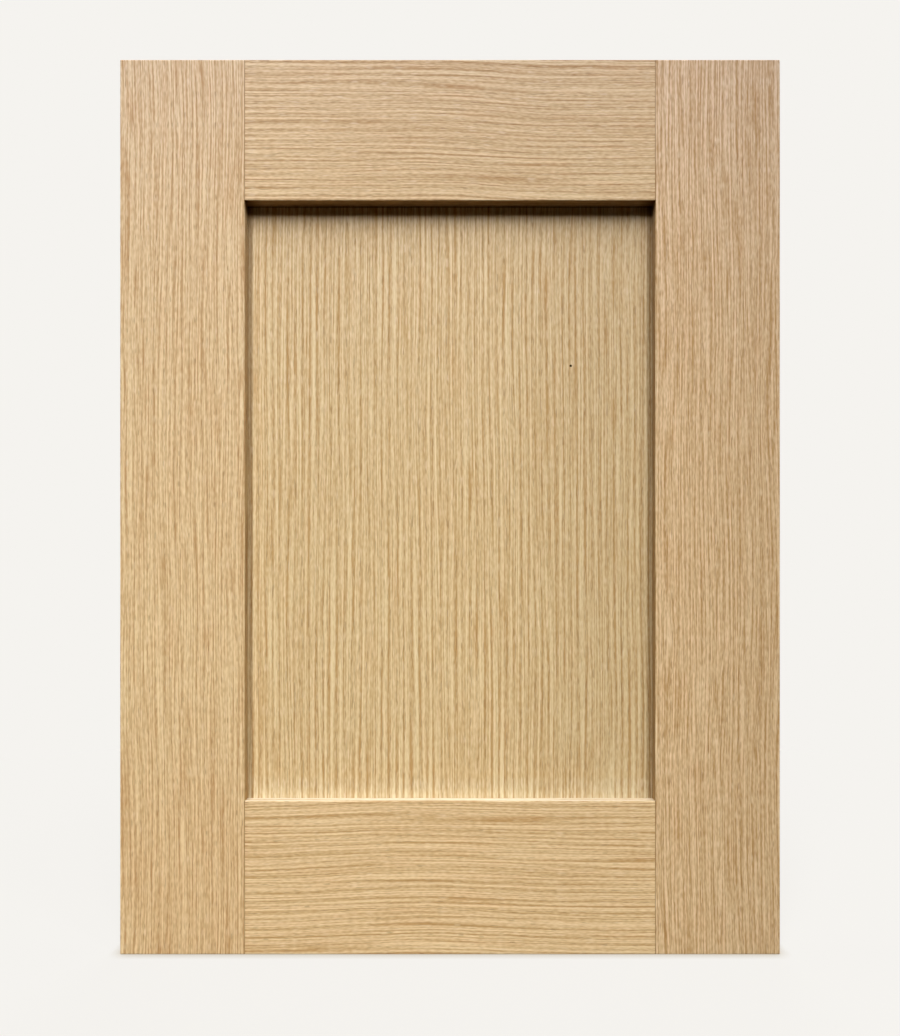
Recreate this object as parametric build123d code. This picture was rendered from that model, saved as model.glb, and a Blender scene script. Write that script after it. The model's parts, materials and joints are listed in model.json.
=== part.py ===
from build123d import *
import os

# Kitchen cabinet door: a square-edged frame of two stiles and two rails round a flat, set-back panel.
# X runs along the width, Y through the thickness from the front face to the back, and Z up.
# The origin is the middle of the bottom edge, halfway through the thickness. Sizes are in millimetres.

# Overall door
door_width = 450.0
door_height = 610.0
frame_thickness = 20.0

# Frame boards, as wide as they look on the front face
stile_width = 85.0
top_rail_width = 96.0
bottom_rail_width = 104.5

# Flat panel, measured back from the front face of the frame
panel_thickness = 6.0
panel_setback = 9.5

# Groove round the inner edge of the frame, and the stub tongues on the rail ends that fill it
groove_depth = 10.0
groove_side_clearance = 0.1
tongue_end_clearance = 0.3

# Eased edges: the outside of the door, the edges round the panel, and the edges of each joint
outer_easing = 0.6
inner_easing = 0.25
joint_easing = 0.2

# Fluted dowels, two to a corner, bored on the middle of the tongue
dowel_diameter = 8.0
dowel_length = 40.0
dowel_bevel = 1.0
dowel_flute_count = 10
dowel_flute_depth = 0.45
dowel_edge_distance = 24.0
dowel_spacing = 46.0
dowel_hole_clearance = 0.1
dowel_end_room = 1.0

# Short rubber plugs in the groove, between its bottom and the edge of the panel
spacer_gap = 4.6
spacer_corner_distance = 75.0
spacer_clearance = 0.1

# Hinge borings in the back of the left stile: a cup, and two pilot holes further in from the edge
hinge_cup_diameter = 35.0
hinge_cup_depth = 12.5
hinge_cup_edge_distance = 22.5
hinge_cup_end_distance = 100.0
hinge_screw_diameter = 3.0
hinge_screw_depth = 10.0
hinge_screw_spacing = 45.0
hinge_screw_offset = 9.5

# How near an edge lies to the level it is picked by
level_tolerance = 0.01

# What follows from the sizes above
front_y = -frame_thickness / 2
back_y = frame_thickness / 2
opening_width = door_width - 2 * stile_width
opening_height = door_height - top_rail_width - bottom_rail_width
opening_middle_z = bottom_rail_width + opening_height / 2
panel_middle_y = front_y + panel_setback + panel_thickness / 2
panel_reach = groove_depth - spacer_gap
groove_width = panel_thickness + 2 * groove_side_clearance
tongue_length = groove_depth - tongue_end_clearance
dowel_hole_diameter = dowel_diameter + 2 * dowel_hole_clearance
dowel_socket_depth = dowel_length / 2 + dowel_end_room


def rail_width(end):
    """Width of a rail: end is -1 for the bottom rail and 1 for the top one."""
    return top_rail_width if end > 0 else bottom_rail_width


def door_end_z(end):
    """Height of the door's bottom (-1) or top (1) edge."""
    return door_height if end > 0 else 0


def at_level(edges, axis, level):
    """The edges whose middle lies at a level along an axis."""
    return edges.filter_by_position(axis, level - level_tolerance, level + level_tolerance)


def dowel_places(end):
    """Heights of the dowels at the bottom (-1) or top (1) of the door."""
    first = door_end_z(end) - end * dowel_edge_distance
    return [first, first - end * dowel_spacing]


def dowel_holes(side, end):
    """Holes across one joint, as deep in the stile as in the rail."""
    joint_x = side * opening_width / 2
    hole = Rot(Y=90) * Cylinder(dowel_hole_diameter / 2, 2 * dowel_socket_depth)
    return [Pos(joint_x, panel_middle_y, z) * hole for z in dowel_places(end)]


def make_stile(side):
    """Upright board of the frame: side is -1 for the left one and 1 for the right one."""
    outer_x = side * door_width / 2
    inner_x = side * opening_width / 2
    middle_x = (outer_x + inner_x) / 2
    board = Pos(middle_x, 0, door_height / 2) * Box(stile_width, frame_thickness, door_height)
    inner_arrises = at_level(board.edges().filter_by(Axis.Z), Axis.X, inner_x)
    board = chamfer(inner_arrises, joint_easing)
    outer_arrises = at_level(board.edges().filter_by(Axis.Z), Axis.X, outer_x)
    end_arrises = board.edges().filter_by(Axis.X)
    corner_arrises = at_level(board.edges().filter_by(Axis.Y), Axis.X, outer_x)
    board = fillet(outer_arrises + end_arrises + corner_arrises, outer_easing)
    groove_middle_x = inner_x + side * groove_depth / 2
    groove = Box(groove_depth, groove_width, door_height)
    board -= Pos(groove_middle_x, panel_middle_y, door_height / 2) * groove
    for end in (-1, 1):
        board -= dowel_holes(side, end)
    return board


def make_rail(end):
    """Level board between the stiles: end is -1 for the bottom one and 1 for the top one."""
    width = rail_width(end)
    outer_z = door_end_z(end)
    inner_z = outer_z - end * width
    board = Pos(0, 0, (outer_z + inner_z) / 2) * Box(opening_width, frame_thickness, width)
    board = chamfer(board.edges().filter_by(Axis.Z), joint_easing)
    inner_arrises = at_level(board.edges().filter_by(Axis.X), Axis.Z, inner_z)
    board = chamfer(inner_arrises, inner_easing)
    outer_arrises = at_level(board.edges().filter_by(Axis.X), Axis.Z, outer_z)
    board = fillet(outer_arrises, outer_easing)
    tongue_width = width - groove_depth
    tongue_middle_z = outer_z - end * tongue_width / 2
    tongues = Box(opening_width + 2 * tongue_length, panel_thickness, tongue_width)
    board += Pos(0, panel_middle_y, tongue_middle_z) * tongues
    groove_middle_z = inner_z + end * groove_depth / 2
    groove = Box(opening_width, groove_width, groove_depth)
    board -= Pos(0, panel_middle_y, groove_middle_z) * groove
    for side in (-1, 1):
        board -= dowel_holes(side, end)
    return board


def make_panel():
    """Flat panel, held in the groove all round."""
    width = opening_width + 2 * panel_reach
    height = opening_height + 2 * panel_reach
    return Pos(0, panel_middle_y, opening_middle_z) * Box(width, panel_thickness, height)


def make_dowel(side, z):
    """Fluted wooden dowel across one joint, half in the stile and half in the rail.

    Pressing the flutes leaves flats between them, two to a ridge.
    """
    section = RegularPolygon(dowel_diameter / 2, 2 * dowel_flute_count)
    pressed = extrude(section, dowel_length / 2, both=True)
    rims = [edge for face in pressed.faces().filter_by(Axis.Z) for edge in face.edges()]
    dowel = chamfer(rims, dowel_bevel)
    flute = extrude(RegularPolygon(dowel_flute_depth, 4), dowel_length / 2, both=True)
    dowel -= PolarLocations(dowel_diameter / 2, dowel_flute_count) * flute
    return Pos(side * opening_width / 2, panel_middle_y, z) * Rot(Y=90) * dowel


def make_spacer(x, z, turn):
    """Rubber plug with one end on the groove's bottom and the other on the panel's edge.

    The ends face up and down until the plug is turned about Y by an angle in degrees.
    """
    plug = Cylinder(panel_thickness / 2, spacer_gap - 2 * spacer_clearance)
    return Pos(x, panel_middle_y, z) * Rot(Y=turn) * plug


def hinge_borings(end):
    """Cup and pilot holes for one hinge, in the back of the left stile."""
    cup_x = -door_width / 2 + hinge_cup_edge_distance
    screw_x = cup_x + hinge_screw_offset
    hinge_z = door_end_z(end) - end * hinge_cup_end_distance
    cup = Rot(X=90) * Cylinder(hinge_cup_diameter / 2, hinge_cup_depth)
    pilot = Rot(X=90) * Cylinder(hinge_screw_diameter / 2, hinge_screw_depth)
    borings = [Pos(cup_x, back_y - hinge_cup_depth / 2, hinge_z) * cup]
    for step in (-1, 1):
        pilot_z = hinge_z + step * hinge_screw_spacing / 2
        borings.append(Pos(screw_x, back_y - hinge_screw_depth / 2, pilot_z) * pilot)
    return borings


pieces = {}

# Frame boards
pieces["left_stile"] = make_stile(-1)
for end in (-1, 1):
    pieces["left_stile"] -= hinge_borings(end)
pieces["right_stile"] = make_stile(1)
pieces["bottom_rail"] = make_rail(-1)
pieces["top_rail"] = make_rail(1)

# Panel
pieces["centre_panel"] = make_panel()

# Dowels: outer_dowel is the one nearer the door's end
side_names = {-1: "left", 1: "right"}
end_names = {-1: "bottom", 1: "top"}
for side, side_name in side_names.items():
    for end, end_name in end_names.items():
        for place, z in zip(("outer", "inner"), dowel_places(end)):
            pieces[f"{end_name}_{side_name}_{place}_dowel"] = make_dowel(side, z)

# Spacers: two in each board's groove
panel_edge_x = opening_width / 2 + panel_reach
panel_edge_z = opening_height / 2 + panel_reach
for side, side_name in side_names.items():
    for end, end_name in end_names.items():
        beside_x = side * (panel_edge_x + spacer_gap / 2)
        beside_z = opening_middle_z + end * (opening_height / 2 - spacer_corner_distance)
        pieces[f"{side_name}_stile_{end_name}_spacer"] = make_spacer(beside_x, beside_z, 90)
        beyond_x = side * (opening_width / 2 - spacer_corner_distance)
        beyond_z = opening_middle_z + end * (panel_edge_z + spacer_gap / 2)
        pieces[f"{end_name}_rail_{side_name}_spacer"] = make_spacer(beyond_x, beyond_z, 0)

os.makedirs("parts", exist_ok=True)
for name, shape in pieces.items():
    export_step(shape, f"parts/{name}.step")
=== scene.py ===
"""Kitchen cabinet door: the oak of its boards, the beech and rubber inside it, and a pale studio.

The door's pieces come finished in shape, so this file gives each one its surface. Lengths are in
metres unless a name says otherwise. X runs across the door, Y from its front to its back, Z up.
"""
import json
import logging
import math
from dataclasses import dataclass
from enum import Enum
from typing import Any

import bpy
from mathutils import Matrix, Vector


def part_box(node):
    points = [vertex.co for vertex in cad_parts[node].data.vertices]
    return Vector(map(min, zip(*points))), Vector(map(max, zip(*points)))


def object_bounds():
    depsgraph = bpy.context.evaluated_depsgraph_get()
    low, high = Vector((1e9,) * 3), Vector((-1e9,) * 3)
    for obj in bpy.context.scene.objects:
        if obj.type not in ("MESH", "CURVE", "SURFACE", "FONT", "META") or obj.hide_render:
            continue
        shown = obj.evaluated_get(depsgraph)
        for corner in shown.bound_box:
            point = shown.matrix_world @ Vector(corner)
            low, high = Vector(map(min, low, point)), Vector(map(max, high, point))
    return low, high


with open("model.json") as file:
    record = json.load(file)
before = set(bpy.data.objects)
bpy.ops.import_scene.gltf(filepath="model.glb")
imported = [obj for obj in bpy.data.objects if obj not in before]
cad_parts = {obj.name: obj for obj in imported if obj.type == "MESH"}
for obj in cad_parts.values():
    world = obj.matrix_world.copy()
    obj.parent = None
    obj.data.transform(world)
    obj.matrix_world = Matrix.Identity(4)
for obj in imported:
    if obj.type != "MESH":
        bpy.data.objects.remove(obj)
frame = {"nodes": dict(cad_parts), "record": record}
cad_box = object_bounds()

log = logging.getLogger("cabinet_door")

MM = 0.001

# A display's response: a straight toe, then a power curve
FULL_LEVEL = 255
TOE_END = 0.04045
TOE_SLOPE = 12.92
CURVE_OFFSET = 0.055
CURVE_POWER = 2.4

Socket = bpy.types.NodeSocket
Colour = tuple[float, float, float]
Place = tuple[float, float, float]


def linear(red: int, green: int, blue: int) -> Colour:
    """Turn a display colour into the linear values that shaders take.

    Args:
        red: Display red, 0 to 255.
        green: Display green, 0 to 255.
        blue: Display blue, 0 to 255.

    Returns:
        The three linear values.
    """
    shares = (channel / FULL_LEVEL for channel in (red, green, blue))
    return tuple(
        share / TOE_SLOPE if share <= TOE_END
        else ((share + CURVE_OFFSET) / (1 + CURVE_OFFSET)) ** CURVE_POWER
        for share in shares
    )


def opaque(colour: Colour) -> tuple[float, float, float, float]:
    """Return a colour with full alpha."""
    return (*colour, 1.0)


class Wiring:
    """Adds nodes to one node tree and joins them.

    A value given to a node is either a socket, which is linked, or a plain value, which is set.

    Attributes:
        noise_middle: Middle of the values that a noise node gives.
        noise_swing: How far from it they mostly stay.
        first_colour: Number of the Mix node's input for its first colour.
        second_colour: Number of its input for its second colour.
        mixed_colour: Number of its output for the mixed colour.
    """

    noise_middle = 0.5
    noise_swing = 0.25
    first_colour = 6
    second_colour = 7
    mixed_colour = 2

    def __init__(self, tree: bpy.types.NodeTree) -> None:
        """Take the node tree of a material, world or group."""
        self.tree = tree

    def feed(self, socket: Socket, value: Any) -> None:
        """Link or set one input.

        Args:
            socket: Input to feed.
            value: Output socket, number, vector or colour.
        """
        if isinstance(value, Socket):
            self.tree.links.new(value, socket)
        else:
            socket.default_value = value

    def add(self, kind: str, inputs: dict[Any, Any] | None = None, **settings: Any) -> bpy.types.Node:
        """Add a node.

        Args:
            kind: Node type.
            inputs: Input name or number to its value.
            **settings: Properties of the node, such as its operation.

        Returns:
            The new node.
        """
        node = self.tree.nodes.new(kind)
        for name, value in settings.items():
            setattr(node, name, value)
        for key, value in (inputs or {}).items():
            self.feed(node.inputs[key], value)
        return node

    def sum(self, operation: str, *values: Any, clamp: bool = False) -> Socket:
        """Work out a number with a Math node, kept between 0 and 1 if clamp is set, and return it."""
        inputs = dict(enumerate(values))
        return self.add("ShaderNodeMath", inputs, operation=operation, use_clamp=clamp).outputs[0]

    def span(self, value: Any, low: Any, high: Any, to_low: Any = 0.0, to_high: Any = 1.0,
             smooth: bool = False) -> Socket:
        """Stretch a range of a number onto another range.

        Args:
            value: Number to stretch.
            low: Value that becomes to_low.
            high: Value that becomes to_high.
            to_low: Start of the new range.
            to_high: End of the new range.
            smooth: Whether the change eases in and out.

        Returns:
            The stretched number's socket.
        """
        kind = "SMOOTHSTEP" if smooth else "LINEAR"
        inputs = {"Value": value, "From Min": low, "From Max": high, "To Min": to_low, "To Max": to_high}
        return self.add("ShaderNodeMapRange", inputs, interpolation_type=kind).outputs[0]

    def split(self, vector: Socket) -> tuple[Socket, Socket, Socket]:
        """Return a vector's three parts."""
        return tuple(self.add("ShaderNodeSeparateXYZ", {0: vector}).outputs)

    def join(self, x: Any, y: Any, z: Any) -> Socket:
        """Join three numbers into a vector and return its socket."""
        return self.add("ShaderNodeCombineXYZ", {0: x, 1: y, 2: z}).outputs[0]

    def streaks(self, vector: Socket, width: Any, length: Any, detail: float = 0.0) -> Socket:
        """Read noise drawn out along Z.

        Args:
            vector: Place to read at.
            width: Width of a streak.
            length: Length of a streak.
            detail: Number of finer layers.

        Returns:
            The noise, centred on zero and mostly within a quarter either way.
        """
        stretch = self.join(width, width, length)
        cell = self.add("ShaderNodeVectorMath", {0: vector, 1: stretch}, operation="DIVIDE").outputs[0]
        inputs = {"Vector": cell, "Scale": 1.0, "Detail": detail}
        noise = self.add("ShaderNodeTexNoise", inputs, noise_dimensions="3D").outputs[0]
        return self.sum("SUBTRACT", noise, self.noise_middle)

    def blend(self, share: Any, first: Any, second: Any, mode: str = "MIX") -> Socket:
        """Blend two colours.

        Args:
            share: How much of the second colour shows, 0 to 1.
            first: Colour at 0.
            second: Colour at 1.
            mode: Way of blending.

        Returns:
            The blended colour's socket.
        """
        inputs = {"Factor": share, self.first_colour: first, self.second_colour: second}
        mix = self.add("ShaderNodeMix", inputs, data_type="RGBA", blend_type=mode)
        return mix.outputs[self.mixed_colour]


def start_material(name: str) -> tuple[bpy.types.Material, Wiring, Socket]:
    """Start a material with an empty node tree.

    Args:
        name: Material's name.

    Returns:
        The material, its wiring and the place on the piece.
    """
    material = bpy.data.materials.new(name)
    material.use_nodes = True
    material.node_tree.nodes.clear()
    wiring = Wiring(material.node_tree)
    return material, wiring, wiring.add("ShaderNodeTexCoord").outputs["Object"]


class SocketKind(Enum):
    """What a group's socket carries."""

    NUMBER = "NodeSocketFloat"
    VECTOR = "NodeSocketVector"
    COLOUR = "NodeSocketColor"


NUMBER, VECTOR, COLOUR = SocketKind


class Group:
    """A shader node group with named inputs and outputs."""

    def __init__(self, name: str, inputs: dict[str, SocketKind], outputs: dict[str, SocketKind]) -> None:
        """Make the group and its sockets.

        Args:
            name: Group's name.
            inputs: Input names and kinds.
            outputs: Output names and kinds.
        """
        self.tree = bpy.data.node_groups.new(name, "ShaderNodeTree")
        for in_out, sockets in (("INPUT", inputs), ("OUTPUT", outputs)):
            for socket, kind in sockets.items():
                self.tree.interface.new_socket(name=socket, in_out=in_out, socket_type=kind.value)
        self.wiring = Wiring(self.tree)
        self.given = self.wiring.add("NodeGroupInput").outputs
        self.results = self.wiring.add("NodeGroupOutput").inputs

    def finish(self, results: dict[str, Socket]) -> None:
        """Feed the group's outputs."""
        for name, value in results.items():
            self.wiring.feed(self.results[name], value)

    def use(self, wiring: Wiring, inputs: dict[str, Any]) -> bpy.types.bpy_prop_collection:
        """Place the group in a tree with its inputs by name, and return its outputs."""
        return wiring.add("ShaderNodeGroup", inputs, node_tree=self.tree).outputs


class GrainRun(Enum):
    """Which way a board's grain runs, as the turn about Y that brings it upright."""

    UPRIGHT = 0.0
    LEVEL = -math.pi / 2


@dataclass(frozen=True)
class Sweep:
    """How the grain lines of a board stray from straight.

    Attributes:
        middle: Place of the arch or step along the board.
        reach: Half the length of the arch or step.
        arch: How far the lines rise in the middle.
        step: How far the lines have risen once past the middle, or fallen if it is below zero.
        bend: How far they wander over a hand's width. Its sign picks the side.
        ripple: How far they waver over a thumb's width.
    """

    middle: float = 0.0
    reach: float = 0.1
    arch: float = 0.0
    step: float = 0.0
    bend: float = 0.0
    ripple: float = 0.0


@dataclass(frozen=True)
class Figure:
    """How strongly each kind of streak shows in a board.

    Attributes:
        spacing: Distance between growth rings on the face.
        drift: How far that distance wanders.
        ring: Strength of the growth rings.
        fine: Strength of the closest fibre lines.
        middling: Strength of the fibre lines between.
        coarse: Strength of the widest fibre lines.
        run: Length over which a fibre line keeps its course.
        dash: Length over which a fibre line keeps its strength.
        grit: Strength of the shortest streaks.
        band: Strength of the streaks as wide as a pencil.
        cloud: Strength of the slow changes.
        pore: Strength of the pores.
        fleck: Strength of the pale flecks.
    """

    spacing: float
    drift: float
    ring: float
    fine: float = 0.11
    middling: float = 0.14
    coarse: float = 0.11
    run: float = 200 * MM
    dash: float = 13 * MM
    grit: float = 0.5
    band: float = 0.02
    cloud: float = 0.03
    pore: float = 0.4
    fleck: float = 0.3


# Painted shade towards the door's right, and a board's deeper foot
@dataclass(frozen=True)
class Shade:
    """How a board deepens from left to right and at its foot.

    Attributes:
        start: Place across the door where the painted shade towards the right begins.
        stop: Place across the door where it is full.
        depth: Share of the colour that the painted shade takes away there.
        foot: How much of the deeper tone at the door's foot shows.
    """

    start: float = 0.0
    stop: float = 0.14
    depth: float = 0.0
    foot: float = 0.0


@dataclass(frozen=True)
class OakFinish:
    """Rift-cut oak under a dead-matt lacquer.

    Attributes:
        grain: Which way the grain runs.
        seed: Shift that gives each board its own figure.
        sweep: How its lines stray.
        figure: How its streaks show.
        shade: Painted shade that deepens it towards the right, and its deeper foot.
        pale: Colour of its palest wood.
        deep: Colour of its deepest wood.
    """

    grain: GrainRun
    seed: Place
    sweep: Sweep
    figure: Figure
    shade: Shade
    pale: Colour
    deep: Colour


class OakGrain:
    """Node groups shared by every oak board.

    A size is the width and length of a streak. A mark or a face fades in between its two levels. A
    tint multiplies each channel. Beside, over and under are distances outwards from the edges of the
    recess, so they are below zero inside it.
    """

    # How the lines stray, and how steeply they lean as they go into the board
    bend_size = (100 * MM, 160 * MM)
    ripple_size = (12 * MM, 40 * MM)
    lean = 0.8

    # Fibre lines: distances apart, width and strength of their wander, fading, and narrowness
    line_spacings = (1.85 * MM, 2.5 * MM, 3.6 * MM)
    line_reach = 3.0
    line_wander = 5.0
    line_swing = 2.3
    line_pinch = 0.6

    # Growth rings, and the streaks of every size
    middle_tone = 0.5
    ring_size = (9.0 * MM, 700 * MM)
    swell_size = (8.0 * MM, 90 * MM)
    swell_levels = (-0.2, 0.2)
    swell_range = (-0.3, -1.2)
    grit_size = (0.9 * MM, 3.5 * MM)
    band_size = (6.0 * MM, 70 * MM)
    cloud_size = (20 * MM, 180 * MM)
    blush_size = (5.0 * MM, 50 * MM)

    # Pores, which are fewer between the growth rings, and ray flecks
    pore_size = (0.6 * MM, 7.0 * MM)
    pore_levels = (0.10, 0.22)
    pore_rings = (-0.6, 0.8)
    pore_least = 0.35
    fleck_size = (0.8 * MM, 10 * MM)
    fleck_levels = (0.12, 0.26)

    # Painted cool light towards the door's head, and the deeper tone at its foot
    head_power = 3.0
    painted_head_light = (0.945, 0.975, 1.215)
    foot_tint = (0.98, 0.95, 0.93)
    foot_height = (0.06, 0.16)

    # How squarely a surface faces along an axis
    cut_levels = (0.95, 0.6)
    end_levels = (0.6, 0.9)
    facing_levels = (0.3, 0.9)

    # Zones of the recess, where shade and light are painted, and the joint lines
    recess_room = 0.5 * MM
    contact_beside = (-4.5 * MM, -1.5 * MM)
    contact_height = (0.15, 0.45)
    contact_least = 0.35
    corner_beside = (-12 * MM, -1.0 * MM)
    corner_over = (-9.0 * MM, -2.0 * MM)
    glow_under = (-16 * MM, 0.0)
    seam_over = (-1.2 * MM, -0.4 * MM)
    joint_beside = (0.40 * MM, 0.15 * MM)

    # Tints of the cut faces, of the painted shade and painted light in those zones, and of the joints
    edge_tint = (0.86, 0.83, 0.78)
    end_tint = (0.90, 0.86, 0.80)
    # Painted shade on the recess walls
    painted_wall_shade = (0.69, 0.66, 0.58)
    # Painted shade on the underside of the top rail
    painted_soffit_shade = (0.63, 0.55, 0.42)
    # Painted highlight on the top of the bottom rail
    painted_ledge_highlight = (0.80, 0.95, 1.26)
    # Painted light on the foot of the panel
    painted_panel_foot_light = (0.95, 1.05, 1.24)
    # Painted contact shadow on the panel beside the walls
    contact_shadow_tint = (0.76, 0.74, 0.70)
    # Painted shade in the top corners of the recess
    painted_corner_shade = (0.45, 0.37, 0.28)
    # Painted shadow along the seam under the top rail
    painted_seam_shadow = (0.35, 0.25, 0.16)
    joint_tint = (0.62, 0.56, 0.48)

    def __init__(self) -> None:
        """Build the groups once."""
        self.sweep = self.build_sweep()
        self.lines = self.build_lines()
        self.figure = self.build_figure()
        self.pores = self.build_pores()
        self.drift = self.build_drift()
        self.cut = self.build_cut()

    def build_sweep(self) -> Group:
        """Build the straying of the lines, for a board whose grain runs along Z of the vector.

        Returns:
            The group: Straight is the vector with the straying taken out and the board's lean put in.
        """
        inputs = {"Vector": VECTOR, "Seed": VECTOR, "Middle": NUMBER, "Reach": NUMBER, "Arch": NUMBER,
                  "Step": NUMBER, "Bend": NUMBER, "Ripple": NUMBER}
        group = Group("Oak grain sweep", inputs, {"Straight": VECTOR})
        wiring, given = group.wiring, group.given
        seeded = wiring.add("ShaderNodeVectorMath", {0: given["Vector"], 1: given["Seed"]},
                            operation="ADD").outputs[0]
        across, depth, along = wiring.split(seeded)
        here = wiring.sum("SUBTRACT", wiring.split(given["Vector"])[2], given["Middle"])
        here = wiring.sum("DIVIDE", here, given["Reach"])
        bell = wiring.sum("EXPONENT", wiring.sum("MULTIPLY", wiring.sum("MULTIPLY", here, here), -1.0))
        past = wiring.span(here, -1.0, 1.0, smooth=True)
        shifts = (
            (bell, given["Arch"]),
            (past, given["Step"]),
            (wiring.streaks(seeded, *self.bend_size), given["Bend"]),
            (wiring.streaks(seeded, *self.ripple_size, detail=1.0), given["Ripple"]),
            (depth, self.lean),
        )
        for share, reach in shifts:
            across = wiring.sum("MULTIPLY_ADD", share, reach, across)
        group.finish({"Straight": wiring.join(across, depth, along)})
        return group

    def wave(self, wiring: Wiring, turns: Socket) -> Socket:
        """Make a wave with narrow troughs, which become the dark lines, and broad crests.

        Args:
            wiring: Group that it belongs to.
            turns: Number of lines passed.

        Returns:
            The wave, centred on zero.
        """
        sine = wiring.sum("SINE", wiring.sum("MULTIPLY", turns, 2 * math.pi))
        square = wiring.sum("MULTIPLY", sine, sine)
        lift = wiring.sum("MULTIPLY_ADD", square, -self.line_pinch, self.line_pinch / 2)
        return wiring.sum("ADD", sine, lift)

    def build_lines(self) -> Group:
        """Build one set of fibre lines, which wander past each other and fade in and out.

        Returns:
            The group: Lines swings either side of zero, mostly between -1 and 1.
        """
        inputs = {"Vector": VECTOR, "Spacing": NUMBER, "Run": NUMBER, "Dash": NUMBER}
        group = Group("Oak fibre lines", inputs, {"Lines": NUMBER})
        wiring, given = group.wiring, group.given
        place, spacing = given["Vector"], given["Spacing"]
        reach = wiring.sum("MULTIPLY", spacing, self.line_reach)
        wander = wiring.streaks(place, reach, given["Run"], detail=1.0)
        count = wiring.sum("DIVIDE", wiring.split(place)[0], spacing)
        turns = wiring.sum("MULTIPLY_ADD", wander, self.line_wander, count)
        wave = self.wave(wiring, turns)
        swing = wiring.streaks(place, spacing, given["Dash"])
        strength = wiring.sum("MAXIMUM", wiring.sum("MULTIPLY_ADD", swing, self.line_swing, 1.0), 0.0)
        group.finish({"Lines": wiring.sum("MULTIPLY", wave, strength)})
        return group

    def build_figure(self) -> Group:
        """Build the growth rings and the streaks of every size.

        Returns:
            The group: Tone is 0 in the deepest wood and 1 in the palest, Ring is above zero in a
            growth ring and below it between two, and Blush is 1 in the reddish streaks.
        """
        inputs = {"Vector": VECTOR, "Spacing": NUMBER, "Drift": NUMBER, "Ring": NUMBER, "Fine": NUMBER,
                  "Middling": NUMBER, "Coarse": NUMBER, "Run": NUMBER, "Dash": NUMBER, "Grit": NUMBER,
                  "Band": NUMBER, "Cloud": NUMBER}
        group = Group("Oak figure", inputs, {"Tone": NUMBER, "Ring": NUMBER, "Blush": NUMBER})
        wiring, given = group.wiring, group.given
        place = given["Vector"]
        wander = wiring.streaks(place, *self.ring_size)
        across = wiring.sum("MULTIPLY_ADD", wander, given["Drift"], wiring.split(place)[0])
        wave = self.wave(wiring, wiring.sum("DIVIDE", across, given["Spacing"]))
        swell = wiring.streaks(place, *self.swell_size)
        swell = wiring.span(swell, *self.swell_levels, *self.swell_range)
        ring = wiring.sum("MULTIPLY", wave, swell)
        layers = [
            (ring, wiring.sum("MULTIPLY", given["Ring"], -1.0)),
            (wiring.streaks(place, *self.grit_size), given["Grit"]),
            (wiring.streaks(place, *self.band_size), given["Band"]),
            (wiring.streaks(place, *self.cloud_size), given["Cloud"]),
        ]
        for name, spacing in zip(("Fine", "Middling", "Coarse"), self.line_spacings):
            shape = {"Vector": place, "Spacing": spacing, "Run": given["Run"], "Dash": given["Dash"]}
            layers.append((self.lines.use(wiring, shape)["Lines"], given[name]))
        tone = self.middle_tone
        for layer, strength in layers:
            tone = wiring.sum("MULTIPLY_ADD", layer, strength, tone)
        blush = wiring.streaks(place, *self.blush_size, detail=1.0)
        blush = wiring.span(blush, 0.0, wiring.noise_swing)
        group.finish({"Tone": tone, "Ring": ring, "Blush": blush})
        return group

    def build_pores(self) -> Group:
        """Build the pores, which are short dark dashes along the grain, and the pale ray flecks.

        Returns:
            The group: Pores and Flecks are masks from 0 to 1.
        """
        inputs = {"Vector": VECTOR, "Ring": NUMBER}
        group = Group("Oak pores", inputs, {"Pores": NUMBER, "Flecks": NUMBER})
        wiring, given = group.wiring, group.given
        near_ring = wiring.span(given["Ring"], *self.pore_rings, self.pore_least, 1.0)
        dashes = wiring.streaks(given["Vector"], *self.pore_size)
        dashes = wiring.span(dashes, *self.pore_levels, smooth=True)
        flecks = wiring.streaks(given["Vector"], *self.fleck_size)
        flecks = wiring.span(flecks, *self.fleck_levels, smooth=True)
        group.finish({"Pores": wiring.sum("MULTIPLY", dashes, near_ring), "Flecks": flecks})
        return group

    def build_drift(self) -> Group:
        """Build the slow changes of colour up and across the door.

        Returns:
            The group: Colour is the given colour with painted cool light towards the door's head, deeper
                at its foot, and under painted shade towards the right, by the amounts given.
        """
        inputs = {"Vector": VECTOR, "Colour": COLOUR, "Foot": NUMBER, "Start": NUMBER, "Stop": NUMBER,
                  "Depth": NUMBER}
        group = Group("Oak painted light, shade and foot tone", inputs, {"Colour": COLOUR})
        wiring, given = group.wiring, group.given
        across, _, up = wiring.split(given["Vector"])
        height = wiring.sum("DIVIDE", up, cad_box[1][2])
        # Painted cool light towards the head
        head = wiring.sum("POWER", height, self.head_power, clamp=True)
        low, high = self.foot_height
        foot = wiring.sum("MULTIPLY", wiring.span(up, high, low, smooth=True), given["Foot"])
        # Painted shade towards the right
        right = wiring.span(across, given["Start"], given["Stop"], smooth=True)
        kept = wiring.sum("SUBTRACT", 1.0, wiring.sum("MULTIPLY", right, given["Depth"]))
        tinted = wiring.blend(head, given["Colour"], opaque(self.painted_head_light), mode="MULTIPLY")
        tinted = wiring.blend(foot, tinted, opaque(self.foot_tint), mode="MULTIPLY")
        shaded = wiring.add("ShaderNodeVectorMath", {0: tinted, "Scale": kept}, operation="SCALE")
        group.finish({"Colour": shaded.outputs[0]})
        return group

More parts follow.
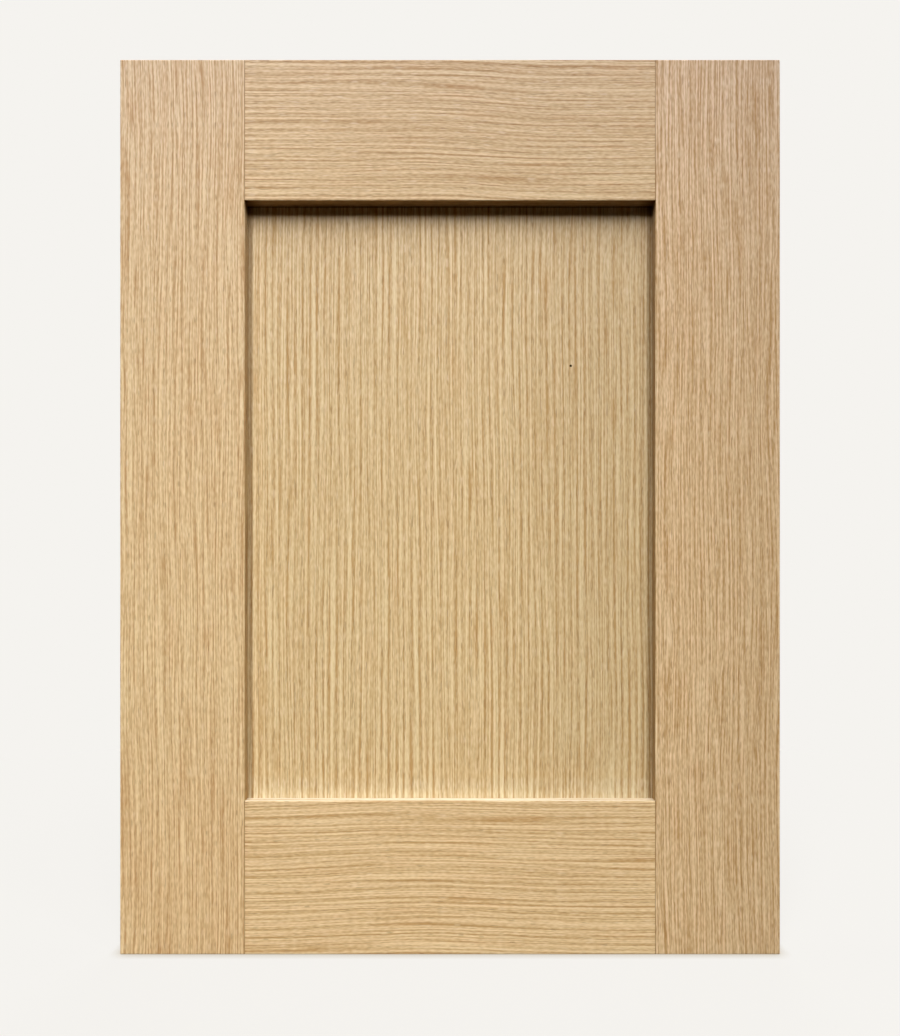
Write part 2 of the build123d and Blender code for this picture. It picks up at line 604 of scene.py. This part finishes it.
    def build_cut(self) -> Group:
        """Build the tone of the sawn faces, of the zones round the recess and of the joint lines.

        The recess zones carry painted shade on its walls and underside, in its top corners, and on the rim
        and seam of the panel, and painted light on the ledge and the foot of the panel. They are on the
        front only.

        Returns:
            The group: Colour is the given colour as it shows at that place.
        """
        inputs = {"Vector": VECTOR, "Normal": VECTOR, "Grain": VECTOR, "Colour": COLOUR}
        group = Group("Oak cut faces and painted recess light and shade", inputs, {"Colour": COLOUR})
        wiring, given = group.wiring, group.given
        half_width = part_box("right_stile")[0][0]
        bottom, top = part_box("bottom_rail")[1][2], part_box("top_rail")[0][2]
        panel_low, panel_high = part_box("centre_panel")
        x, y, z = wiring.split(given["Vector"])
        front = wiring.sum("LESS_THAN", y, (panel_low[1] + panel_high[1]) / 2)
        side_facing, face_facing, up_facing = wiring.split(given["Normal"])
        beside = wiring.sum("SUBTRACT", wiring.sum("ABSOLUTE", x), half_width)
        over = wiring.sum("SUBTRACT", z, top)
        under = wiring.sum("SUBTRACT", bottom, z)
        beyond = wiring.sum("MAXIMUM", over, under)
        away = wiring.sum("MAXIMUM", beyond, beside)
        recess = wiring.sum("MULTIPLY", wiring.sum("LESS_THAN", away, self.recess_room), front)
        cut = wiring.span(wiring.sum("ABSOLUTE", face_facing), *self.cut_levels)
        outer = wiring.sum("MULTIPLY", cut, wiring.sum("SUBTRACT", 1.0, recess))
        inner = wiring.sum("MULTIPLY", cut, recess)
        flat = wiring.sum("MULTIPLY", wiring.sum("LESS_THAN", away, 0.0), wiring.sum("SUBTRACT", 1.0, cut))
        panel = wiring.sum("MULTIPLY", flat, front)
        dot = wiring.add("ShaderNodeVectorMath", {0: given["Normal"], 1: given["Grain"]},
                         operation="DOT_PRODUCT")
        end_facing = wiring.span(wiring.sum("ABSOLUTE", dot.outputs["Value"]), *self.end_levels)
        wall_facing = wiring.span(wiring.sum("ABSOLUTE", side_facing), *self.facing_levels)
        ledge_facing = wiring.span(up_facing, *self.facing_levels)
        soffit_facing = wiring.span(wiring.sum("MULTIPLY", up_facing, -1.0), *self.facing_levels)
        # Shares of the painted contact shadow beside the walls and of the painted shade in the top corners
        near_wall = wiring.sum("MULTIPLY", wiring.span(beside, *self.contact_beside),
                               wiring.span(z, *self.contact_height, self.contact_least, 1.0))
        near_corner = wiring.sum("MULTIPLY", wiring.span(beside, *self.corner_beside),
                                 wiring.span(over, *self.corner_over))
        on_line = wiring.span(wiring.sum("ABSOLUTE", beside), *self.joint_beside)
        tints = (
            (outer, 1.0, self.edge_tint),
            (outer, end_facing, self.end_tint),
            # Painted shade on the walls, underside, seam, contact band and top corners; painted light on
            # the ledge and the panel's foot
            (inner, wall_facing, self.painted_wall_shade),
            (inner, soffit_facing, self.painted_soffit_shade),
            (inner, ledge_facing, self.painted_ledge_highlight),
            (panel, wiring.span(under, *self.glow_under), self.painted_panel_foot_light),
            (panel, wiring.span(over, *self.seam_over), self.painted_seam_shadow),
            (panel, near_wall, self.contact_shadow_tint),
            (recess, near_corner, self.painted_corner_shade),
            (on_line, wiring.sum("GREATER_THAN", beyond, 0.0), self.joint_tint),
        )
        toned = given["Colour"]
        for zone, share, tint in tints:
            strength = wiring.sum("MULTIPLY", zone, share)
            toned = wiring.blend(strength, toned, opaque(tint), mode="MULTIPLY")
        group.finish({"Colour": toned})
        return group


class OakMaterials:
    """Makes the materials of the boards from their finishes.

    Attributes:
        roughness: Roughness of the matt lacquer.
        specular: Strength of its reflection.
        relief: Depth of a pore.
        relief_strength: Share of that depth that shows.
        pore_colour: Colour in a pore.
        fleck_colour: Colour of a ray fleck.
        blush_tint: Tint of the reddish streaks.
    """

    roughness = 0.8
    specular = 0.02
    relief = 0.05 * MM
    relief_strength = 0.25
    pore_colour = linear(140, 101, 58)
    fleck_colour = linear(250, 228, 190)
    blush_tint = (1.01, 0.984, 0.977)

    def __init__(self, grain: OakGrain) -> None:
        """Take the node groups of the oak."""
        self.grain = grain

    def wood(self, wiring: Wiring, place: Socket, finish: OakFinish) -> tuple[Socket, Socket]:
        """Work out a board's colour and the height of its surface.

        Args:
            wiring: Board's material.
            place: Place on the board.
            finish: Values of this board.

        Returns:
            The colour, and the height, which is zero but for the pores.
        """
        turn = (0.0, finish.grain.value, 0.0)
        turned = wiring.add("ShaderNodeMapping", {"Vector": place, "Rotation": turn})
        sweep, figure, shade = finish.sweep, finish.figure, finish.shade
        straight = self.grain.sweep.use(wiring, {
            "Vector": turned.outputs[0], "Seed": finish.seed, "Middle": sweep.middle,
            "Reach": sweep.reach, "Arch": sweep.arch, "Step": sweep.step, "Bend": sweep.bend,
            "Ripple": sweep.ripple,
        })["Straight"]
        wood = self.grain.figure.use(wiring, {
            "Vector": straight, "Spacing": figure.spacing, "Drift": figure.drift, "Ring": figure.ring,
            "Fine": figure.fine, "Middling": figure.middling, "Coarse": figure.coarse,
            "Run": figure.run, "Dash": figure.dash, "Grit": figure.grit, "Band": figure.band,
            "Cloud": figure.cloud,
        })
        marks = self.grain.pores.use(wiring, {"Vector": straight, "Ring": wood["Ring"]})
        tone = wiring.span(wood["Tone"], 0.0, 1.0, smooth=True)
        colour = wiring.blend(tone, opaque(finish.deep), opaque(finish.pale))
        colour = wiring.blend(wood["Blush"], colour, opaque(self.blush_tint), mode="MULTIPLY")
        pores = wiring.sum("MULTIPLY", marks["Pores"], figure.pore)
        colour = wiring.blend(pores, colour, opaque(self.pore_colour))
        flecks = wiring.sum("MULTIPLY", marks["Flecks"], figure.fleck)
        colour = wiring.blend(flecks, colour, opaque(self.fleck_colour))
        colour = self.grain.drift.use(wiring, {
            "Vector": place, "Colour": colour, "Foot": shade.foot, "Start": shade.start,
            "Stop": shade.stop, "Depth": shade.depth,
        })["Colour"]
        normal = wiring.add("ShaderNodeTexCoord").outputs["Normal"]
        grain_axis = (0.0, 0.0, 1.0) if finish.grain is GrainRun.UPRIGHT else (1.0, 0.0, 0.0)
        cut = self.grain.cut.use(wiring, {
            "Vector": place, "Normal": normal, "Grain": grain_axis, "Colour": colour,
        })
        return cut["Colour"], wiring.sum("MULTIPLY", marks["Pores"], -1.0)

    def finish(self, wiring: Wiring, colour: Socket, height: Socket) -> None:
        """Lacquer a board.

        Args:
            wiring: Board's material.
            colour: Colour of the wood.
            height: Height of its surface, as a share of the relief.
        """
        bump = wiring.add("ShaderNodeBump", {
            "Height": height, "Strength": self.relief_strength, "Distance": self.relief,
        })
        shader = wiring.add("ShaderNodeBsdfPrincipled", {
            "Base Color": colour,
            "Roughness": self.roughness,
            "Specular IOR Level": self.specular,
            "Normal": bump.outputs[0],
        })
        wiring.add("ShaderNodeOutputMaterial", {"Surface": shader.outputs[0]})

    def make(self, name: str, finish: OakFinish) -> bpy.types.Material:
        """Make a plain board's material.

        Args:
            name: Material's name.
            finish: Values of this board.

        Returns:
            The material.
        """
        material, wiring, place = start_material(name)
        self.finish(wiring, *self.wood(wiring, place, finish))
        return material


def dress(node: str, material: bpy.types.Material) -> None:
    """Give a piece its material.

    Args:
        node: Piece's name.
        material: Material that takes the place of the plain one.
    """
    for slot in frame["nodes"][node].material_slots:
        slot.material = material
    log.info("%s: %s", node, material.name)


@dataclass(frozen=True)
class Boring:
    """A round hole bored into the back of a board.

    Attributes:
        x: Place of its middle across the door.
        z: Height of its middle.
        radius: Half its width.
    """

    x: float
    z: float
    radius: float


@dataclass
class FrameBoards:
    """The two stiles and two rails round the panel.

    Attributes:
        oak: Maker of the oak materials.
        boring_room: Room round a hinge boring that still counts as its wall.
        boring_floor: Place through the thickness that every boring stops short of.
        mouth_room: How far below the back face a boring's wall begins.
        cutter_step: Distance between the cutter's marks.
        cutter_depth: Height of the marks, as a share of the relief.
        raw_tint: Tint of the raw wood in a boring.
        stile_sweep: How the lines of the stiles stray.
        stile_figure: How the streaks of the stiles show.
    """

    oak: OakMaterials
    boring_room: float = 0.3 * MM
    boring_floor: float = -4.0 * MM
    mouth_room: float = 0.05 * MM
    cutter_step: float = 0.7 * MM
    cutter_depth: float = 0.5
    raw_tint: Colour = (1.10, 1.10, 1.14)
    stile_sweep: Sweep = Sweep(bend=8 * MM, ripple=0.8 * MM)
    stile_figure: Figure = Figure(spacing=4.3 * MM, drift=8 * MM, ring=0.05)

    def finishes(self) -> dict[str, OakFinish]:
        # Each shade but the left stile's is a painted shade that deepens the board towards the door's
        # right; the left stile's is only its deeper foot
        """Return the finish of each board by its name."""
        return {
            "left_stile": OakFinish(
                grain=GrainRun.UPRIGHT, seed=(0.31, 0.07, 0.11), sweep=self.stile_sweep,
                figure=self.stile_figure, shade=Shade(foot=1.0),
                pale=linear(240, 215, 167), deep=linear(195, 153, 103)),
            "right_stile": OakFinish(
                grain=GrainRun.UPRIGHT, seed=(0.83, 0.17, 0.71), sweep=self.stile_sweep,
                figure=self.stile_figure, shade=Shade(start=0.14, stop=0.225, depth=0.12),
                pale=linear(230, 202, 160), deep=linear(179, 140, 89)),
            "top_rail": OakFinish(
                grain=GrainRun.LEVEL, seed=(0.53, 0.27, 1.31),
                sweep=Sweep(middle=0.025, reach=0.05, step=-4 * MM, bend=2 * MM, ripple=1.5 * MM),
                figure=Figure(spacing=4.5 * MM, drift=4 * MM, ring=0.13, fine=0.02, middling=0.11,
                              coarse=0.11, run=400 * MM, dash=25 * MM),
                shade=Shade(start=-0.16, stop=0.14, depth=0.11),
                pale=linear(240, 213, 163), deep=linear(190, 150, 101)),
            "bottom_rail": OakFinish(
                grain=GrainRun.LEVEL, seed=(1.13, 0.37, 2.11),
                sweep=Sweep(middle=-0.025, reach=0.075, arch=3.5 * MM, bend=-2.5 * MM, ripple=1.5 * MM),
                figure=Figure(spacing=5.1 * MM, drift=7 * MM, ring=0.13, fine=0.02, middling=0.15,
                              run=400 * MM, dash=15 * MM),
                shade=Shade(start=-0.04, depth=0.075),
                pale=linear(243, 216, 169), deep=linear(197, 155, 102)),
        }

    def borings(self) -> list[Boring]:
        """Return the hinge borings in the left stile, as the record gives them."""
        holes = []
        for mount in frame["record"]["mounts"]:
            x, _, z = mount["pos_m"]
            dims = mount["dims"]
            if mount["kind"] == "bore":
                holes.append(Boring(x, z, dims["r_mm"] * MM))
            if mount["kind"] == "bolt_pattern":
                half = dims["spacing_y_mm"] * MM / 2
                holes += [Boring(x, z + step * half, dims["hole_r_mm"] * MM) for step in (-1, 1)]
        return holes

    def build_bored(self) -> Group:
        """Build the mask of one boring.

        Returns:
            The group: Inside is 1 on the hole's wall and floor, and Rings are the cutter's marks.
        """
        inputs = {"Vector": VECTOR, "Middle": VECTOR, "Radius": NUMBER}
        group = Group("Bored wood", inputs, {"Inside": NUMBER, "Rings": NUMBER})
        wiring, given = group.wiring, group.given
        offset = wiring.add("ShaderNodeVectorMath", {0: given["Vector"], 1: given["Middle"]},
                            operation="SUBTRACT")
        x, _, z = wiring.split(offset.outputs[0])
        away = wiring.sum("SQRT", wiring.sum("MULTIPLY_ADD", x, x, wiring.sum("MULTIPLY", z, z)))
        near = wiring.sum("LESS_THAN", away, given["Radius"])
        depth = wiring.split(given["Vector"])[1]
        below = wiring.sum("LESS_THAN", depth, cad_box[1][1] - self.mouth_room)
        above = wiring.sum("GREATER_THAN", depth, self.boring_floor)
        inside = wiring.sum("MULTIPLY", near, wiring.sum("MULTIPLY", below, above))
        rings = wiring.sum("SINE", wiring.sum("MULTIPLY", away, 2 * math.pi / self.cutter_step))
        group.finish({"Inside": inside, "Rings": rings})
        return group

    def make_bored(self, name: str, finish: OakFinish) -> bpy.types.Material:
        """Make the material of the stile with the hinge borings, which show raw wood.

        Args:
            name: Material's name.
            finish: Values of this board.

        Returns:
            The material.
        """
        material, wiring, place = start_material(name)
        colour, height = self.oak.wood(wiring, place, finish)
        bored = self.build_bored()
        for hole in self.borings():
            middle = (hole.x, 0.0, hole.z)
            reach = hole.radius + self.boring_room
            mask = bored.use(wiring, {"Vector": place, "Middle": middle, "Radius": reach})
            colour = wiring.blend(mask["Inside"], colour, opaque(self.raw_tint), mode="MULTIPLY")
            marks = wiring.sum("MULTIPLY", mask["Inside"], mask["Rings"])
            height = wiring.sum("MULTIPLY_ADD", marks, self.cutter_depth, height)
        self.oak.finish(wiring, colour, height)
        return material

    def build(self) -> None:
        """Dress the four boards."""
        for node, finish in self.finishes().items():
            make = self.make_bored if node == "left_stile" else self.oak.make
            dress(node, make(f"{node}_oak", finish))


@dataclass
class CentrePanel:
    """The flat panel, with one pin knot.

    Attributes:
        oak: Maker of the oak materials.
        knot_x: Place of the pin knot across the door.
        knot_z: Its height.
        knot_core: Half the width of its dark middle.
        knot_rim: Half its whole width.
        knot_colour: Colour of its middle.
    """

    oak: OakMaterials
    knot_x: float = 0.0836
    knot_z: float = 0.40375
    knot_core: float = 0.55 * MM
    knot_rim: float = 1.15 * MM
    knot_colour: Colour = linear(44, 26, 10)

    def build(self) -> None:
        """Dress the panel and put the pin knot on its front."""
        # Its shade is a painted shade that deepens the panel towards the door's right
        finish = OakFinish(
            grain=GrainRun.UPRIGHT, seed=(1.71, 0.47, 0.37), sweep=Sweep(bend=4 * MM, ripple=0.3 * MM),
            figure=Figure(spacing=5.0 * MM, drift=3 * MM, ring=0.20, fine=0.08, middling=0.13,
                          coarse=0.08, run=260 * MM, dash=34 * MM, grit=0.45),
            shade=Shade(depth=0.165),
            pale=linear(235, 213, 166), deep=linear(194, 154, 99))
        material, wiring, place = start_material("centre_panel_oak")
        colour, height = self.oak.wood(wiring, place, finish)
        middle = (self.knot_x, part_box("centre_panel")[0][1], self.knot_z)
        away = wiring.add("ShaderNodeVectorMath", {0: place, 1: middle}, operation="DISTANCE")
        knot = wiring.span(away.outputs["Value"], self.knot_rim, self.knot_core, smooth=True)
        colour = wiring.blend(knot, colour, opaque(self.knot_colour))
        self.oak.finish(wiring, colour, wiring.sum("SUBTRACT", height, knot))
        dress("centre_panel", material)


@dataclass
class CornerDowels:
    """The eight fluted beech dowels in the corner joints.

    Attributes:
        pale: Colour of the palest beech.
        deep: Colour of the deepest beech.
        fleck: Colour of the short ray flecks.
        streak_size: Width and length of the streaks.
        fleck_size: Width and length of the flecks.
        fleck_levels: Two values of the noise between which a fleck fades in.
        fleck_share: How much of the flecks' colour shows.
        roughness: Roughness of the pressed wood.
        specular: Strength of its reflection.
    """

    pale: Colour = linear(232, 204, 168)
    deep: Colour = linear(204, 168, 128)
    fleck: Colour = linear(168, 122, 84)
    streak_size: tuple[float, float] = (1.2 * MM, 14.0 * MM)
    fleck_size: tuple[float, float] = (0.35 * MM, 1.6 * MM)
    fleck_levels: tuple[float, float] = (0.12, 0.2)
    fleck_share: float = 0.5
    roughness: float = 0.7
    specular: float = 0.2

    def make_material(self) -> bpy.types.Material:
        """Make the beech, with its grain along the dowel.

        Returns:
            The material.
        """
        material, wiring, place = start_material("dowel_beech")
        turn = (0.0, GrainRun.LEVEL.value, 0.0)
        along = wiring.add("ShaderNodeMapping", {"Vector": place, "Rotation": turn}).outputs[0]
        tone = wiring.streaks(along, *self.streak_size, detail=2.0)
        tone = wiring.span(tone, -wiring.noise_swing, wiring.noise_swing)
        flecks = wiring.span(wiring.streaks(along, *self.fleck_size), *self.fleck_levels)
        colour = wiring.blend(tone, opaque(self.deep), opaque(self.pale))
        share = wiring.sum("MULTIPLY", flecks, self.fleck_share)
        colour = wiring.blend(share, colour, opaque(self.fleck))
        shader = wiring.add("ShaderNodeBsdfPrincipled", {
            "Base Color": colour,
            "Roughness": self.roughness,
            "Specular IOR Level": self.specular,
        })
        wiring.add("ShaderNodeOutputMaterial", {"Surface": shader.outputs[0]})
        return material

    def build(self) -> None:
        """Dress every dowel."""
        material = self.make_material()
        for end in ("bottom", "top"):
            for side in ("left", "right"):
                for place in ("outer", "inner"):
                    dress(f"{end}_{side}_{place}_dowel", material)


@dataclass
class PanelSpacers:
    """The eight rubber plugs in the panel groove.

    Attributes:
        pale: Colour of the dusty rubber.
        deep: Colour of the clean rubber.
        grain_size: Size of the mottling.
        roughness: Roughness of the clean rubber and of the dusty rubber.
    """

    pale: Colour = linear(62, 60, 58)
    deep: Colour = linear(30, 29, 29)
    grain_size: float = 0.5 * MM
    roughness: tuple[float, float] = (0.65, 0.85)

    def make_material(self) -> bpy.types.Material:
        """Make the black rubber, mottled and matt.

        Returns:
            The material.
        """
        material, wiring, place = start_material("spacer_rubber")
        mottle = wiring.streaks(place, self.grain_size, self.grain_size, detail=2.0)
        mottle = wiring.span(mottle, -wiring.noise_swing, wiring.noise_swing)
        shader = wiring.add("ShaderNodeBsdfPrincipled", {
            "Base Color": wiring.blend(mottle, opaque(self.deep), opaque(self.pale)),
            "Roughness": wiring.span(mottle, 0.0, 1.0, *self.roughness),
        })
        wiring.add("ShaderNodeOutputMaterial", {"Surface": shader.outputs[0]})
        return material

    def build(self) -> None:
        """Dress every spacer."""
        material = self.make_material()
        for side in ("left", "right"):
            for end in ("bottom", "top"):
                dress(f"{side}_stile_{end}_spacer", material)
                dress(f"{end}_rail_{side}_spacer", material)


@dataclass(frozen=True)
class StripLamp:
    """A long soft lamp.

    Attributes:
        name: Lamp's name.
        low: Middle of its lower end.
        high: Middle of its upper end.
        width: Its width.
        power: Power in watts.
    """

    name: str
    low: Place
    high: Place
    width: float
    power: float

    def build(self, aim: Vector) -> None:
        """Hang the lamp.

        Args:
            aim: Point that it faces.
        """
        low, high = Vector(self.low), Vector(self.high)
        middle = (low + high) / 2
        length_axis = (high - low).normalized()
        back_axis = middle - aim
        back_axis -= length_axis * back_axis.dot(length_axis)
        back_axis.normalize()
        width_axis = length_axis.cross(back_axis)
        data = bpy.data.lights.new(self.name, "AREA")
        data.shape = "RECTANGLE"
        data.size = self.width
        data.size_y = (high - low).length
        data.energy = self.power
        lamp = bpy.data.objects.new(self.name, data)
        turn = Matrix((width_axis, length_axis, back_axis)).transposed()
        lamp.matrix_world = Matrix.Translation(middle) @ turn.to_4x4()
        bpy.context.scene.collection.objects.link(lamp)


@dataclass
class Studio:
    """Pale floor and surroundings, and the soft lamps.

    Attributes:
        paleness: Colour of the floor and surroundings as the camera sees them.
        floor_reach: Half the floor's width.
        floor_drop: How far the floor lies below the door.
        shadow_near: Distance from the door's middle at which its cast shadow begins to fade.
        shadow_far: Distance at which the shadow has gone.
        shadow_share: How much of the shadow shows.
        contact_reach: Reach of the dark line where the door meets the floor.
        contact_levels: Openness of the floor with none of that line, and with all of it.
        contact_shadow_tint: Tint of that line.
        contact_samples: Samples taken of the openness.
        floor_share: Share of its paleness that the shadowed floor is given.
        floor_return: Colour of the floor as a mirror of light onto the door.
        fill: Strength of the surroundings as a light.
        fill_colour: Their colour as a light.
        lamps: The soft lamps.
    """

    paleness: Colour = linear(245, 243, 239)
    floor_reach: float = 40.0
    floor_drop: float = 0.2 * MM
    shadow_near: float = 0.30
    shadow_far: float = 1.0
    shadow_share: float = 0.08
    contact_reach: float = 9.0 * MM
    contact_levels: tuple[float, float] = (1.0, 0.4)
    contact_shadow_tint: Colour = (0.74, 0.68, 0.58)
    contact_samples: int = 8
    floor_share: float = 0.54
    floor_return: Colour = (0.021, 0.015, 0.007)
    fill: float = 0.01
    fill_colour: Colour = (1.0, 0.70, 0.32)
    lamps: tuple[StripLamp, ...] = (
        StripLamp("left_lamp", (-4.4, -11.0, 7.57), (-0.96, -2.4, 12.2), 1.2, 1412.0),
        StripLamp("right_lamp", (4.4, -11.0, 7.57), (0.96, -2.4, 12.2), 1.2, 1033.0),
        StripLamp("side_lamp", (6.42, -6.75, 4.4), (2.85, -3.0, 7.4), 1.05, 211.0),
        StripLamp("left_edge_lamp", (-6.0, 0.5, 0.4), (-6.0, 0.5, 2.6), 1.5, 120.0),
        StripLamp("right_edge_lamp", (6.0, 0.5, 0.4), (6.0, 0.5, 2.6), 1.5, 120.0),
        StripLamp("back_lamp", (0.9, 4.6, 0.7), (0.9, 3.8, 2.6), 2.4, 195.0),
    )

    def part_rays(self, wiring: Wiring, light: bpy.types.Node, seen: bpy.types.Node) -> bpy.types.Node:
        """Part what lights the door from what the camera sees, straight or in a reflection.

        Args:
            wiring: Material or world that it belongs to.
            light: Shader that lights the door.
            seen: Shader that the camera sees.

        Returns:
            The mixed shader.
        """
        rays = wiring.add("ShaderNodeLightPath").outputs
        direct = wiring.sum("ADD", rays["Is Camera Ray"], rays["Is Glossy Ray"])
        pale = wiring.sum("ADD", direct, rays["Is Transmission Ray"], clamp=True)
        return wiring.add("ShaderNodeMixShader", {0: pale, 1: light.outputs[0], 2: seen.outputs[0]})

    def build_world(self) -> None:
        """Make the surroundings pale to the eye and faint as a light."""
        world = bpy.data.worlds.new("pale_surroundings")
        bpy.context.scene.world = world
        world.use_nodes = True
        world.node_tree.nodes.clear()
        wiring = Wiring(world.node_tree)
        seen = wiring.add("ShaderNodeBackground", {"Color": opaque(self.paleness), "Strength": 1.0})
        light = wiring.add("ShaderNodeBackground", {
            "Color": opaque(self.fill_colour), "Strength": self.fill,
        })
        mix = self.part_rays(wiring, light, seen)
        wiring.add("ShaderNodeOutputWorld", {"Surface": mix.outputs[0]})

    def build_floor(self) -> None:
        """Lay the floor, which keeps the door's contact shadow and a faint cast one."""
        bpy.ops.object.select_all(action="DESELECT")
        bpy.ops.mesh.primitive_plane_add(size=2 * self.floor_reach, location=(0.0, 0.0, -self.floor_drop))
        floor = bpy.context.object
        floor.name = "studio_floor"
        material, wiring, place = start_material("studio_floor_pale")
        contact = wiring.add("ShaderNodeAmbientOcclusion", {"Distance": self.contact_reach},
                             samples=self.contact_samples)
        closed = wiring.span(contact.outputs["AO"], *self.contact_levels)
        pale = wiring.blend(closed, opaque(self.paleness), opaque(self.contact_shadow_tint), mode="MULTIPLY")
        glow = wiring.add("ShaderNodeEmission", {"Color": pale, "Strength": 1.0})
        grey = tuple(self.floor_share * channel for channel in self.paleness)
        shaded = wiring.add("ShaderNodeBsdfDiffuse", {"Color": opaque(grey)})
        away = wiring.add("ShaderNodeVectorMath", {0: place}, operation="LENGTH")
        near = wiring.span(away.outputs["Value"], self.shadow_near, self.shadow_far,
                           self.shadow_share, 0.0, smooth=True)
        seen = wiring.add("ShaderNodeMixShader", {0: near, 1: glow.outputs[0], 2: shaded.outputs[0]})
        plain = wiring.add("ShaderNodeBsdfDiffuse", {"Color": opaque(self.floor_return)})
        mix = self.part_rays(wiring, plain, seen)
        wiring.add("ShaderNodeOutputMaterial", {"Surface": mix.outputs[0]})
        floor.data.materials.append(material)

    def build(self) -> None:
        """Build the surroundings, floor and lamps."""
        self.build_world()
        self.build_floor()
        low, high = cad_box
        aim = (Vector(low) + Vector(high)) / 2
        for lamp in self.lamps:
            lamp.build(aim)
        log.info("studio: floor, surroundings and %d lamps", len(self.lamps))


@dataclass
class PhotoCamera:
    """Camera square to the door, a little below its middle.

    Attributes:
        distance: From the door's front face.
        height: Above the floor.
        view_height: Height of the picture at the door's front face.
        view_middle: Height of the picture's middle at the door's front face.
        sensor: Length of the picture's long side on the sensor, in millimetres.
    """

    distance: float = 0.610
    height: float = 0.241
    view_height: float = 0.7063
    view_middle: float = 0.2975
    sensor: float = 36.0

    def build(self) -> None:
        """Place the camera and make it the scene's own."""
        data = bpy.data.cameras.new("photo_camera")
        data.sensor_width = self.sensor
        data.lens = self.sensor * self.distance / self.view_height
        data.shift_y = (self.view_middle - self.height) / self.view_height
        camera = bpy.data.objects.new("photo_camera", data)
        front = cad_box[0][1]
        camera.location = (0.0, front - self.distance, self.height)
        camera.rotation_euler = (math.pi / 2, 0.0, 0.0)
        bpy.context.scene.collection.objects.link(camera)
        bpy.context.scene.camera = camera
        log.info("camera: %.1f mm lens", data.lens)


def main() -> None:
    """Dress the door and build the studio round it."""
    logging.basicConfig(level=logging.INFO)
    bpy.context.scene.view_settings.view_transform = "Standard"
    oak = OakMaterials(OakGrain())
    FrameBoards(oak).build()
    CentrePanel(oak).build()
    CornerDowels().build()
    PanelSpacers().build()
    Studio().build()
    PhotoCamera().build()


if __name__ == "__main__":
    main()
